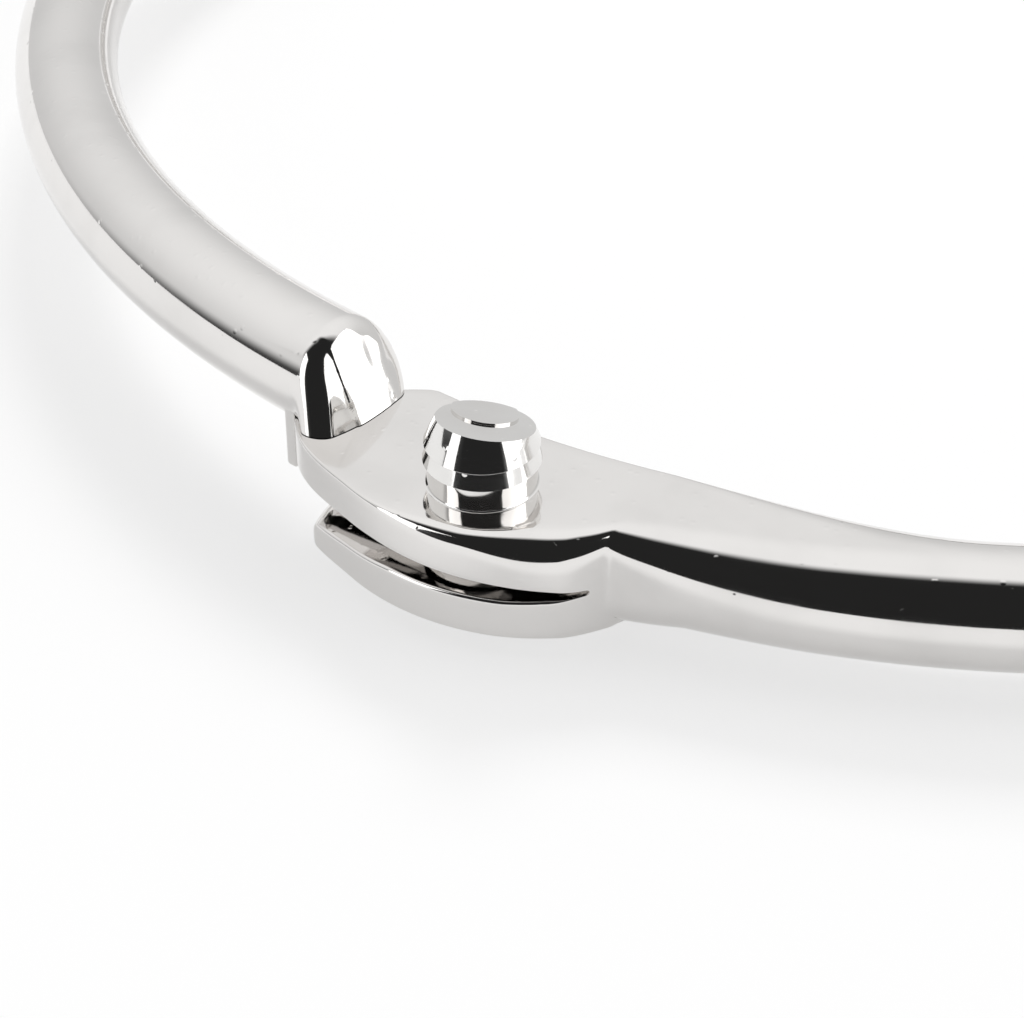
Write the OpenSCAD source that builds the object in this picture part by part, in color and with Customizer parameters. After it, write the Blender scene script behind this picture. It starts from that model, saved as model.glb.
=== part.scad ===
// Hinged wire binder ring: a forked half, a tongued half and the rivet that joins them.
// The ring lies flat, its hinge towards -Y and its closure towards +Y; +Z is up.
// The origin is the ring's centre, on the surface that the ring lies on.

/* [Wire] */
// Diameter of the round wire
wire_d = 3; // [2.7:0.05:3.3]
// Radius of the ring, to the middle of the wire
ring_r = 27; // [24:0.5:32]
// Height of the tongued half's wire above the forked half's wire, at the hinge
rise = 2.05; // [1.9:0.05:2.4]

/* [Knuckle] */
// Distance of the rivet's axis outside the middle of the wire
pin_out = 0.7; // [0.5:0.02:0.9]
// Depth of the flat below the top of the wire
flat_drop = 0.15; // [0.1:0.01:0.25]
// Radius of the knuckle's rim
rim_r = 6; // [5.8:0.05:6.5]
// Distance of the rim outside the rivet's axis
rim_out = 2.29; // [2.2:0.01:2.6]
// Distance of the rim's centre from the rivet's axis, towards the tongued half
rim_shift = 0.4; // [0.3:0.02:0.6]
// Distance of the knuckle's inner edge inside the middle of the wire
edge_in = 1.58; // [1.54:0.01:1.75]
// Rounding of the rim's edges
rim_round = 0.28; // [0.15:0.01:0.34]
// Reach of the upper lip from the rivet's axis
upper_lip_r = 5.28; // [5.1:0.02:5.5]
// Reach of the lower lip from the rivet's axis
lower_lip_r = 4.35; // [4:0.05:4.8]

/* [Slot] */
// Thickness of the lower lip
lower_lip_t = 1.12; // [1:0.01:1.2]
// Distance from the rivet's axis to the end of the slot
slot_end = 3.4; // [3.1:0.05:3.6]
// Height of the slot at its end
slot_tip_h = 0.16; // [0.12:0.01:0.2]
// Distance from the rivet's axis to where the slot starts to narrow
slot_even = 1.6; // [1.55:0.05:2]
// Distance from the rivet's axis to where the slot's roof has risen to its mouth
roof_run = 2; // [1.8:0.05:2.4]
// Rise of the slot's roof at its mouth
mouth_rise = 0.22; // [0.1:0.01:0.3]
// Drop of the lower lip's tip, where its mouth opens
mouth_drop = 0.1; // [0.05:0.01:0.2]

/* [Neck] */
// Length over which the flat-topped neck turns into round wire
neck_len = 8; // [6:0.25:10]
// Half width of the neck outside the middle of the wire, where it leaves the knuckle
neck_outer = 1.48; // [1.4:0.01:1.5]

/* [Tongue] */
// Thickness of the tongue and of the web that carries it
tongue_t = 0.36; // [0.3:0.01:0.42]
// Clearance above and below the tongue in the slot
tongue_gap = 0.04; // [0.03:0.005:0.06]
// Width of the tongue's arm
arm_w = 2; // [1.7:0.05:2.2]
// Diameter of the tongue's eye
eye_d = 2.9; // [2.7:0.05:3]
// Clearance round the rivet in the eye
eye_gap = 0.06; // [0.03:0.005:0.1]
// Width of the web between the wire and the tongue
web_w = 2.6; // [2.2:0.05:2.8]
// Clearance between the upper lip and the wire that passes over and round it
swing_gap = 0.09; // [0.06:0.01:0.2]
// Distance of the wire's cut end from the rivet's axis, at its foot
wall_x = 3.62; // [3.4:0.02:4]
// Lean of the cut end from the vertical
wall_lean = 22; // [15:0.5:28]

/* [Rivet] */
// Diameter of the rivet's shank
pin_d = 1.7; // [1.5:0.05:1.8]
// Clearance of the rivet in the lips
lip_gap = 0.02; // [0.01:0.005:0.04]
// Diameter of the post's plain foot
foot_d = 2.68; // [2.5:0.02:2.8]
// Height of the post's plain foot above the flat
foot_h = 0.64; // [0.5:0.02:0.7]
// Diameter of the post over its rings
post_d = 2.8; // [2.7:0.02:3]
// Height of one ring of the post
ring_h = 0.46; // [0.4:0.02:0.5]
// Depth of the grooves between the rings
groove_depth = 0.1; // [0.06:0.01:0.14]
// Height of the taper above the rings
taper_h = 0.42; // [0.4:0.02:0.5]
// Diameter at the top of the taper
top_d = 2; // [1.8:0.02:2.2]
// Height of the post's cut end above the flat, on its axis
cut_h = 1.72; // [1.66:0.02:1.8]
// Slant of the cut end, down towards the ring's centre
cut_slant = 16; // [10:0.5:20]
// Radius of the step that is left on the cut end
step_r = 0.93; // [0.8:0.01:1]
// Height of the step on the cut end
step_h = 0.1; // [0.06:0.01:0.14]
// Distance of the step's centre behind the axis
step_back = 0.54; // [0.4:0.02:0.6]
// Diameter of the head under the lower lip
head_d = 3.4; // [3:0.05:3.6]
// Height of the head under the lower lip
head_h = 0.5; // [0.4:0.02:0.7]
// Rounding of the head's edge
head_round = 0.3; // [0.2:0.02:0.36]

/* [Closure] */
// Length of the lap where the halves meet
lap_len = 6; // [4.5:0.25:8]
// Clearance between the flats of the lap
lap_gap = 0.06; // [0.04:0.01:0.12]
// Clearance at the ends of the lap
lap_end_gap = 0.15; // [0.1:0.01:0.25]

/* [Hidden] */

$fn = 96;
wire_r = wire_d / 2;
// Height of the forked half's wire above the surface
wire_z = head_h + wire_r;
pin_r = ring_r + pin_out;

// Heights in the knuckle, from the middle of the forked half's wire
flat_z = wire_r - flat_drop;
slot_low_z = lower_lip_t - wire_r;
slot_h = tongue_t + 2 * tongue_gap;
slot_mid_z = slot_low_z + slot_h / 2;
tongue_low_z = slot_low_z + tongue_gap;

// Rim's centre in the ring's plane, and the knuckle's inner edge as a radius of the ring
rim_c = [-rim_shift, -(pin_r + rim_out - rim_r)];
edge_r = ring_r - edge_in;

// Angle from the hinge at which the rim runs into the neck's outer side
neck_r = ring_r + neck_outer;
rim_far = norm(rim_c);
crease_a = acos((rim_far * rim_far + neck_r * neck_r - rim_r * rim_r) / (2 * rim_far * neck_r))
    - atan2(rim_shift, -rim_c[1]);
crease_x = neck_r * sin(crease_a);

// Angles along the ring, counted from the hinge; seat is how far pieces run into each other
seat = 0.6;
seat_a = seat / ring_r * 180 / PI;
neck_a = neck_len / ring_r * 180 / PI;
round_a = crease_a + neck_a;
lap_a = lap_len / 2 / ring_r * 180 / PI;
lap_end_a = lap_a - lap_end_gap / ring_r * 180 / PI;
tilt = asin(rise / (2 * ring_r));

// Room for the upper lip under and beside the tongued half's wire
notch_r = upper_lip_r + swing_gap;
notch_z = flat_z + swing_gap;
web_mid = notch_r + tongue_t / 2;
// Direction from the rivet to the web, seen from above
arm_a = 90 + acos((pin_r * pin_r + web_mid * web_mid - ring_r * ring_r) / (2 * pin_r * web_mid));
// Angle from the hinge to the wire's cut end
wall_a = asin(wall_x / ring_r);

// Rings of the post, and the heights where they start and end
ring_count = 2;
ring_steps = 8;
ring_low_z = flat_z + foot_h;
taper_z = ring_low_z + ring_count * ring_h;

// More than the reach of anything that is cut
over = 4 * wire_d;

nickel = "#c9c9c7";
bright_nickel = "#d6d6d4";

// Wire bent round the ring's centre, between two angles counted from the hinge
module wire_arc(from_a, to_a) {
    rotate([0, 0, from_a - 90])
        rotate_extrude(angle = to_a - from_a, $fn = 180)
            translate([ring_r, 0])
                circle(wire_r);
}

// Disc about the Z axis whose two edges are rounded
module round_edged_disc(r, low, high, edge) {
    rotate_extrude($fn = 180) {
        translate([0, low])
            square([r - edge, high - low]);
        translate([0, low + edge])
            square([r, high - low - 2 * edge]);
        for (z = [low + edge, high - edge])
            translate([r - edge, z])
                circle(edge, $fn = 48);
    }
}

// Block that holds one side of the ring's plane, over the lap at the closure
module lap_block(from_a, to_a, low) {
    rotate([0, 0, from_a - 90])
        rotate_extrude(angle = to_a - from_a, $fn = 180)
            translate([ring_r - wire_d, low])
                square([2 * wire_d, over]);
}

// Moves what follows to the rivet's axis
module at_pin() {
    translate([0, -pin_r, 0])
        children();
}

// Section of the neck as radius and height: boxy and flat-topped at share 1, round at share 0
neck_sides = 40;
neck_rings = 14;
inset = 0.02;
function power(x, n) = sign(x) * pow(abs(x), 2 / n);
function mix(a, b, share) = a + (b - a) * share;
function neck_section(share) = [
    for (i = [0 : neck_sides - 1])
        let (
            t = 360 * i / neck_sides,
            n = sin(t) > 0 ? mix(2, 5, share) : mix(2, 2.4, share),
            half_w = mix(wire_r, cos(t) > 0 ? neck_outer : edge_in, share),
            half_h = sin(t) > 0 ? mix(wire_r, flat_z, share) : wire_r
        )
        [(half_w - inset) * power(cos(t), n), (half_h - inset) * power(sin(t), n)]
];

// Neck that carries the flat of the knuckle over into the round wire
module neck() {
    first_a = crease_a - seat_a;
    last_a = round_a + seat_a;
    points = [
        for (k = [0 : neck_rings])
            let (
                a = mix(first_a, last_a, k / neck_rings) - 90,
                along = (a + 90 - crease_a) / neck_a,
                share = 1 - sin(90 * min(max(along, 0), 1))
            )
            for (p = neck_section(share))
                [(ring_r + p[0]) * cos(a), (ring_r + p[0]) * sin(a), p[1]]
    ];
    sides = [
        for (k = [0 : neck_rings - 1], i = [0 : neck_sides - 1])
            let (j = (i + 1) % neck_sides, low = k * neck_sides, high = low + neck_sides)
            [low + i, low + j, high + j, high + i]
    ];
    first_end = [for (i = [neck_sides - 1 : -1 : 0]) i];
    last_end = [for (i = [0 : neck_sides - 1]) neck_rings * neck_sides + i];
    polyhedron(points, concat(sides, [first_end, last_end]), convexity = 4);
}

// Slit in the ring's plane: even round the rivet, narrow at its end and open at the mouth
module slot() {
    mouth_x = -upper_lip_r - seat;
    tip_x = slot_end - slot_tip_h / 2;
    at_pin()
        translate([0, 0, slot_mid_z])
            rotate([90, 0, 0])
                linear_extrude(2 * over, center = true) {
                    polygon([
                        [mouth_x, slot_h / 2 + mouth_rise],
                        [mouth_x, -slot_h / 2 - mouth_drop],
                        [-lower_lip_r, -slot_h / 2 - mouth_drop],
                        [-slot_even, -slot_h / 2],
                        [slot_even, -slot_h / 2],
                        [tip_x, -slot_tip_h / 2],
                        [tip_x, slot_tip_h / 2],
                        [slot_even, slot_h / 2],
                        [-roof_run, slot_h / 2 + mouth_rise]
                    ]);
                    translate([tip_x, 0])
                        circle(d = slot_tip_h, $fn = 32);
                }
}

// Knuckle before the slot and the bore: part of a disc, between the ring's inner edge and the rim
module knuckle() {
    difference() {
        intersection() {
            translate([rim_c[0], rim_c[1], 0])
                round_edged_disc(rim_r, -wire_r, flat_z, rim_round);
            at_pin()
                union() {
                    translate([0, 0, slot_mid_z])
                        cylinder(h = over, r = upper_lip_r);
                    translate([0, 0, slot_mid_z - over])
                        cylinder(h = over + slot_h / 4, r = lower_lip_r);
                }
        }
        translate([0, 0, -over])
            cylinder(h = 2 * over, r = edge_r, $fn = 180);
        translate([crease_x + seat, -2 * ring_r, -over])
            cube([over, 2 * ring_r, 2 * over]);
    }
}

module fork_half() {
    color(nickel)
        translate([0, 0, wire_z])
            difference() {
                union() {
                    knuckle();
                    neck();
                    wire_arc(round_a, 180 + lap_end_a);
                }
                slot();
                at_pin()
                    translate([0, 0, -over])
                        cylinder(h = 2 * over, d = pin_d + 2 * lip_gap);
                lap_block(180 - lap_a, 180 + lap_a, -lap_gap / 2);
            }
}

module tongue_half() {
    color(nickel)
        translate([0, 0, wire_z]) {
            difference() {
                translate([0, ring_r, 0])
                    rotate([-tilt, 0, 0])
                        translate([0, -ring_r, 0])
                            wire_arc(180 - lap_end_a, 360);
                at_pin()
                    translate([0, 0, -over])
                        cylinder(h = over + notch_z, r = notch_r);
                rotate([0, 0, -wall_a])
                    translate([0, -ring_r, notch_z])
                        rotate([0, -wall_lean, 0])
                            translate([0, -over, -over])
                                cube([2 * over, 2 * over, 2 * over]);
                mirror([0, 0, 1])
                    lap_block(180 - lap_a, 180 + lap_a, -lap_gap / 2);
            }
            web();
            tongue();
        }
}

// Web that goes down from the wire, close past the end of the upper lip
module web() {
    intersection() {
        at_pin()
            translate([0, 0, tongue_low_z])
                difference() {
                    cylinder(h = rise - tongue_low_z, r = notch_r + tongue_t);
                    translate([0, 0, -over])
                        cylinder(h = 2 * over, r = notch_r);
                }
        rotate([0, 0, 180])
            rotate_extrude(angle = 90, $fn = 180)
                translate([ring_r - web_w / 2, -over])
                    square([web_w, 2 * over]);
    }
}

// Flat arm and eye that lie in the slot
module tongue() {
    at_pin()
        translate([0, 0, tongue_low_z])
            difference() {
                union() {
                    cylinder(h = tongue_t, d = eye_d);
                    rotate([0, 0, arm_a])
                        translate([0, -arm_w / 2, 0])
                            cube([web_mid, arm_w, tongue_t]);
                }
                translate([0, 0, -over])
                    cylinder(h = 2 * over, d = pin_d + 2 * eye_gap);
            }
}

// Outline of the ringed side of the post, from the plain foot to the taper
function ringed_side() = [
    for (k = [0 : ring_count - 1], i = [0 : ring_steps])
        [
            post_d / 2 - groove_depth * (1 - sin(180 * i / ring_steps)),
            ring_low_z + ring_h * (k + i / ring_steps)
        ]
];

module hinge_rivet() {
    color(bright_nickel)
        translate([0, -pin_r, wire_z])
            difference() {
                rotate_extrude() {
                    polygon(concat(
                        [[0, -wire_r - head_h], [pin_d / 2, -wire_r - head_h], [pin_d / 2, flat_z]],
                        [[foot_d / 2, flat_z], [foot_d / 2, ring_low_z]],
                        ringed_side(),
                        [[top_d / 2, taper_z + taper_h], [0, taper_z + taper_h]]
                    ));
                    translate([0, -wire_r - head_h])
                        rivet_head();
                }
                translate([0, 0, flat_z + cut_h])
                    rotate([-cut_slant, 0, 0])
                        cut_end();
            }
}

// What is taken off the post's end: all above the step, and what lies before it down to the cut
module cut_end() {
    difference() {
        translate([-over, -over, 0])
            cube([2 * over, 2 * over, over]);
        translate([0, step_back, -over])
            cylinder(h = over + step_h, r = step_r);
    }
}

// Half outline of the low head, with its lower edge rounded
module rivet_head() {
    square([head_d / 2 - head_round, head_h]);
    translate([0, head_round])
        square([head_d / 2, head_h - head_round]);
    intersection() {
        square([head_d / 2, head_h]);
        translate([head_d / 2 - head_round, head_round])
            circle(head_round, $fn = 48);
    }
}

fork_half();
tongue_half();
hinge_rivet();
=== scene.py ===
"""Hinged wire binder ring, seen from close by at its hinge, on a pale floor in a small studio."""
import logging
from dataclasses import dataclass, field, replace
from enum import Enum
from math import acos, asin, atan2, cos, degrees, pi, radians, sin, sqrt, tan
from typing import Any, Sequence

import bmesh
import bpy
from mathutils import Matrix, Vector, noise


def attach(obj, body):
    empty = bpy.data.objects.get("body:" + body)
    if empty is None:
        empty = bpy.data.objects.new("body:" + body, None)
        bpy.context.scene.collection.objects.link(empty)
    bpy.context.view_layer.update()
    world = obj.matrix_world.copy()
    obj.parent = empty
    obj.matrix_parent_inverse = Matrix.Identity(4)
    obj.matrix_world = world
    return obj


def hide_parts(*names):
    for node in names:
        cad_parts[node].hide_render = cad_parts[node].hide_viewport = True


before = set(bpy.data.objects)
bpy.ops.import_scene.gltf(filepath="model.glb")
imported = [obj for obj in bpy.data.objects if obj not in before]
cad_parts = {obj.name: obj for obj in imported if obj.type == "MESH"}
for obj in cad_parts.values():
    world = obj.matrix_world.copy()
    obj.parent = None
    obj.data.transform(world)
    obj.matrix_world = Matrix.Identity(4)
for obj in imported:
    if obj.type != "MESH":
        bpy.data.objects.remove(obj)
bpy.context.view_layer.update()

log = logging.getLogger("binder_ring")

MM = 0.001
SEAM = 1e-4 * MM  # points closer than this become one
SHARP_DEG = 38.0  # edges that turn by more stay sharp
WORN_DEG = 40.0  # edges that turn by more are worn round
ROD_SIDES = 64
BORE_DEPTH = 8.0  # millimetres, more than any piece is high
LAP_STEPS = 14  # loops along the lap at the closure
WIRE_STEPS = 150  # loops along a half's plain wire
ROUNDS = 12  # repeats that settle a point on a curve
HALVINGS = 40
THIN = 0.02  # millimetres, a side of a section that counts as none
TINY = 1e-9
FLAT_POINTS, CORNER_POINTS, SIDE_POINTS = 12, 9, 5  # round a section
SMOOTH = {"interpolation_type": "SMOOTHSTEP"}
UP = Vector((0.0, 0.0, 1.0))

Solid = bpy.types.Object
BMesh = bmesh.types.BMesh
Point = tuple[float, float]
Run = tuple[float, float, int]  # start, end and count


def mix(a: float, b: float, share: float) -> float:
    """Value between a at share 0 and b at share 1."""
    return a + (b - a) * share


def ease(x: float) -> float:
    """Smooth step from 0 to 1, level at both ends and outside them."""
    x = min(max(x, 0), 1)
    return x * x * (3 - 2 * x)


def ramp(x: float, run: Point) -> float:
    """Smooth step from 0 at the run's start to 1 at its end."""
    return ease((x - run[0]) / (run[1] - run[0]))


def soft_max(a: float, b: float, width: float) -> float:
    """The larger of a and b, rounded off where they are within width of each other."""
    return (a + b + sqrt((a - b) ** 2 + width * width)) / 2


def spread(start: float, end: float, count: int) -> list[float]:
    """Count values from start to end, both included."""
    return [mix(start, end, i / (count - 1)) for i in range(count)]


def linear(hex_colour: str) -> tuple[float, float, float, float]:
    """Linear RGBA of an sRGB hex colour.

    Args:
        hex_colour: six hex digits, with or without a leading hash.

    Returns:
        Red, green, blue and an alpha of 1.
    """
    digits = hex_colour.lstrip("#")
    parts = [int(digits[i:i + 2], 16) / 255.0 for i in (0, 2, 4)]
    parts = [c / 12.92 if c <= 0.04045 else ((c + 0.055) / 1.055) ** 2.4 for c in parts]
    return parts[0], parts[1], parts[2], 1


def add_node(tree: bpy.types.NodeTree, kind: str, settings: dict[str, Any] | None = None,
             values: dict[Any, Any] | None = None, links: dict[Any, Any] | None = None,
             out: int | str = 0) -> bpy.types.NodeSocket:
    """Adds a node with its settings, socket values and incoming links.

    Args:
        tree: the node tree to add to.
        kind: the node's type name, without its leading ShaderNode.
        settings: attributes of the node.
        values: default values of its inputs, by name or index.
        links: output sockets that feed its inputs, by name or index.
        out: which output to give back.

    Returns:
        That output of the new node.
    """
    node = tree.nodes.new("ShaderNode" + kind)
    for name, value in (settings or {}).items():
        setattr(node, name, value)
    for name, value in (values or {}).items():
        node.inputs[name].default_value = value
    for name, socket in (links or {}).items():
        tree.links.new(socket, node.inputs[name])
    return node.outputs[out]


@dataclass(frozen=True)
class RingPlan:
    """Sizes that the pieces share, in millimetres, and places in the ring's frame."""

    wire_r: float = 1.5
    ring_r: float = 27.0
    rise: float = 2.05
    head_h: float = 0.5
    pin_out: float = 0.7
    flat_drop: float = 0.15
    pin_d: float = 1.7
    lap_len: float = 6.0
    lap_gap: float = 0.06
    lap_end_gap: float = 0.15
    upper_lip_r: float = 5.28
    swing_gap: float = 0.09
    slot_low_z: float = -0.38
    slot_h: float = 0.44
    tongue_t: float = 0.36

    @property
    def wire_z(self) -> float:
        """Height of the forked half's wire above the floor."""
        return self.head_h + self.wire_r

    @property
    def pin_r(self) -> float:
        """Distance of the rivet's axis from the ring's centre."""
        return self.ring_r + self.pin_out

    @property
    def shank_r(self) -> float:
        """Radius of the rivet's shank."""
        return self.pin_d / 2

    @property
    def flat_z(self) -> float:
        """Height of the knuckle's flat above the middle of the wire."""
        return self.wire_r - self.flat_drop

    @property
    def slot_mid_z(self) -> float:
        """Height of the slot's middle above the middle of the wire, below zero."""
        return self.slot_low_z + self.slot_h / 2

    @property
    def lap_run(self) -> Point:
        """Angles from the hinge at which the lap at the closure starts and ends."""
        half = self.lap_len / 2 / self.ring_r
        return pi - half, pi + half - self.lap_end_gap / self.ring_r

    @property
    def tilt(self) -> float:
        """Slope of the tongued half, which rises from the closure to the hinge."""
        return asin(self.rise / (2 * self.ring_r))

    def on_pin(self, z: float) -> Vector:
        """Place on the rivet's axis, in metres, at a height above the middle of the wire."""
        return Vector((0, -self.pin_r, z + self.wire_z)) * MM

    def at(self, angle: float, u: float, z: float) -> Vector:
        """Place in metres in the forked half's ring: angle from the hinge, u outside and z above the wire's middle."""
        reach = self.ring_r + u
        return Vector((reach * sin(angle), -reach * cos(angle), z + self.wire_z)) * MM

    def at_raised(self, angle: float, u: float, z: float) -> Vector:
        """Place in the tongued half's ring, which is tilted about the closure."""
        hub = Vector((0, self.ring_r, self.wire_z)) * MM
        return hub + Matrix.Rotation(-self.tilt, 3, "X") @ (self.at(angle, u, z) - hub)

    def crossing(self, centre: Point, radius: float, angle: float, far: bool) -> float:
        """Where a line from the ring's centre crosses a circle.

        Args:
            centre: the circle's centre, seen from above.
            radius: the circle's radius.
            angle: the line's angle from the hinge.
            far: whether it is the farther of the two crossings.

        Returns:
            The distance outside the middle of the wire.
        """
        along = centre[0] * sin(angle) - centre[1] * cos(angle)
        half = sqrt(max(along ** 2 - centre[0] ** 2 - centre[1] ** 2 + radius ** 2, 0))
        return along + (half if far else -half) - self.ring_r

    def angle_round_pin(self, u: float, distance: float) -> float:
        """Angle from the hinge, above zero, at which the ring's circle at u meets a circle about the rivet."""
        cosine = (self.pin_r ** 2 + (self.ring_r + u) ** 2 - distance ** 2) / (2 * self.pin_r * (self.ring_r + u))
        return acos(min(max(cosine, -1), 1))


PLAN = RingPlan()


@dataclass
class Sweep:
    """Skin that is drawn over one closed loop after another."""

    mesh: BMesh
    capped: bool = True
    loop: list[bmesh.types.BMVert] = field(default_factory=list)

    @property
    def edges(self) -> list[bmesh.types.BMEdge]:
        """Edges of the last loop."""
        return [self.mesh.edges.get((a, b)) for a, b in zip(self.loop, self.loop[1:] + self.loop[:1])]

    def lay(self, places: Sequence[Vector]) -> None:
        """Lays the first loop, with a face over it if capped, or extrudes the last loop to a new one.

        Args:
            places: where the loop's points go.
        """
        if self.loop:
            made = bmesh.ops.extrude_edge_only(self.mesh, edges=self.edges)
            fresh = {v for v in made["geom"] if isinstance(v, bmesh.types.BMVert)}
            self.loop = [next(e.other_vert(v) for e in v.link_edges if e.other_vert(v) in fresh) for v in self.loop]
        else:
            made = bmesh.ops.create_circle(self.mesh, cap_ends=self.capped, segments=len(places), radius=MM)
            self.loop = made["verts"]
        for vert, place in zip(self.loop, places):
            vert.co = place

    def close(self) -> None:
        """Closes the last loop with a face."""
        bmesh.ops.contextual_create(self.mesh, geom=self.edges)


def settle(mesh: BMesh, outward: bool) -> None:
    """Merges seams, smooths all faces and keeps sharp edges sharp.

    Args:
        mesh: the bmesh to change.
        outward: whether the faces are turned outwards too.
    """
    bmesh.ops.remove_doubles(mesh, verts=mesh.verts, dist=SEAM)
    bmesh.ops.dissolve_degenerate(mesh, edges=mesh.edges, dist=SEAM)
    if outward:
        bmesh.ops.recalc_face_normals(mesh, faces=mesh.faces)
    for face in mesh.faces:
        face.smooth = True
    for edge in mesh.edges:
        edge.smooth = edge.calc_face_angle(0) < radians(SHARP_DEG)


def finish_mesh(mesh: BMesh, name: str) -> Solid:
    """Makes an object of a bmesh, with closed seams and faces turned outwards.

    Args:
        mesh: the finished bmesh, which is freed.
        name: the object's name.

    Returns:
        The new object, linked to the scene.
    """
    settle(mesh, True)
    data = bpy.data.meshes.new(name)
    mesh.to_mesh(data)
    mesh.free()
    piece = bpy.data.objects.new(name, data)
    bpy.context.scene.collection.objects.link(piece)
    return piece


def rod(name: str, radius: float, depth: float, place: Vector) -> Solid:
    """Makes an upright cylinder.

    Args:
        name: the object's name.
        radius: its radius in millimetres.
        depth: its height in millimetres.
        place: its middle in metres.

    Returns:
        The new object.
    """
    mesh = bmesh.new()
    bmesh.ops.create_cone(mesh, cap_ends=True, segments=ROD_SIDES, radius1=radius * MM, radius2=radius * MM,
                          depth=depth * MM, matrix=Matrix.Translation(place))
    return finish_mesh(mesh, name)


class Join(Enum):
    """Ways to combine a piece with a tool solid."""

    CUT = "DIFFERENCE"
    WELD = "UNION"


def combine(piece: Solid, tool: Solid, join: Join) -> None:
    """Cuts a tool solid out of a piece or welds it on, and removes the tool.

    Args:
        piece: the piece to change.
        tool: the tool solid, which is removed.
        join: whether to cut or to weld.
    """
    change = piece.modifiers.new("combine", "BOOLEAN")
    change.operation = join.value
    change.solver = "EXACT"
    change.object = tool
    bpy.context.view_layer.update()
    result = bpy.data.meshes.new_from_object(piece.evaluated_get(bpy.context.evaluated_depsgraph_get()))
    piece.modifiers.remove(change)
    mesh = bmesh.new()
    mesh.from_mesh(result)
    settle(mesh, False)
    mesh.to_mesh(result)
    mesh.free()
    piece.data = result
    tool_mesh = tool.data
    bpy.data.objects.remove(tool)
    bpy.data.meshes.remove(tool_mesh)


class Piece:
    """Piece of the ring, which builds its mesh and takes its finish and its place in the frame."""

    def build(self) -> Solid:
        """Makes the piece's object, in each class's own way."""
        raise NotImplementedError

    def dress(self, finish: bpy.types.Material, node: str, body: str, slot: str) -> None:
        """Builds the piece and gives it its finish and its place in the frame.

        Args:
            finish: its material.
            node: the CAD node that it stands for.
            body: the body that it moves with.
            slot: the record's material slot; not used.
        """
        piece = self.build()
        piece.data.materials.clear()
        piece.data.materials.append(finish)
        # Normals are weighted by face area, so that flats stay flat right up to their rounded edges.
        weigh = piece.modifiers.new("keep_flats", "WEIGHTED_NORMAL")
        weigh.mode = "FACE_AREA"
        weigh.weight = 50
        weigh.keep_sharp = True
        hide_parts(node)
        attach(piece, body)
        log.info("%s: %d faces", piece.name, len(piece.data.polygons))


def corner_arc(centre: Point, radius: float, start_deg: float, count: int) -> list[Point]:
    """Quarter circle that turns clockwise from start_deg, both ends included."""
    turns = [radians(a) for a in spread(start_deg, start_deg - 90.0, count)]
    return [(centre[0] + radius * cos(t), centre[1] + radius * sin(t)) for t in turns]


def between(a: Point, b: Point, count: int) -> list[Point]:
    """Count points on the line from a to b, without its ends."""
    steps = [(i + 1) / (count + 1) for i in range(count)]
    return [(mix(a[0], b[0], s), mix(a[1], b[1], s)) for s in steps]


@dataclass(frozen=True)
class Section:
    """Upright section as a box with four rounded corners, round the middle of the wire."""

    inner: float
    outer: float
    low: float
    high: float
    top_outer: float
    low_outer: float
    low_inner: float
    top_inner: float

    def points(self, split_z: float | None = None) -> list[Point]:
        """Points clockwise from the inner end of the top.

        Args:
            split_z: height of one more point in both sides, with as many above and below it as an
                unsplit side has, or None.

        Returns:
            Points as distance and height.
        """
        corners = (
            (self.outer - self.top_outer, self.high - self.top_outer, self.top_outer, 90.0),
            (self.outer - self.low_outer, self.low + self.low_outer, self.low_outer, 0.0),
            (self.inner + self.low_inner, self.low + self.low_inner, self.low_inner, -90.0),
            (self.inner + self.top_inner, self.high - self.top_inner, self.top_inner, 180.0),
        )
        arcs = [corner_arc((u, z), radius, start, CORNER_POINTS) for u, z, radius, start in corners]

        def side(a: Point, b: Point) -> list[Point]:
            """Points of an upright side between two corners."""
            stops = (a, b) if split_z is None else (a, (a[0], split_z), b)
            return [p for s, e in zip(stops, stops[1:]) for p in between(s, e, SIDE_POINTS) + [e]][:-1]

        return (between(arcs[3][-1], arcs[0][0], FLAT_POINTS) + arcs[0] + side(arcs[0][-1], arcs[1][0]) + arcs[1]
                + between(arcs[1][-1], arcs[2][0], FLAT_POINTS) + arcs[2] + side(arcs[2][-1], arcs[3][0]) + arcs[3])

    def reach(self, turn: float) -> float:
        """Distance from the middle of the wire to the outline in a direction.

        Args:
            turn: angle of the direction above the outward level.

        Returns:
            The distance, or 0 where the section ends before the middle.
        """
        cosine, sine = cos(turn), sin(turn)
        across = self.outer if cosine >= 0 else -self.inner
        up = self.high if sine >= 0 else -self.low
        edges = (self.top_inner, self.top_outer) if sine >= 0 else (self.low_inner, self.low_outer)
        if across <= THIN:
            return 0
        radius = min(edges[cosine >= 0], across, up)
        cosine, sine = abs(cosine), abs(sine)
        far = min(across / max(cosine, TINY), up / max(sine, TINY))
        u, z = across - radius, up - radius
        if far * cosine > u and far * sine > z:
            middle = cosine * u + sine * z
            far = middle + sqrt(max(middle ** 2 - u * u - z * z + radius * radius, 0))
        return far


class Lip(Enum):
    """The two lips that the slot leaves of the knuckle."""

    UPPER = "upper"
    LOWER = "lower"


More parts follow.
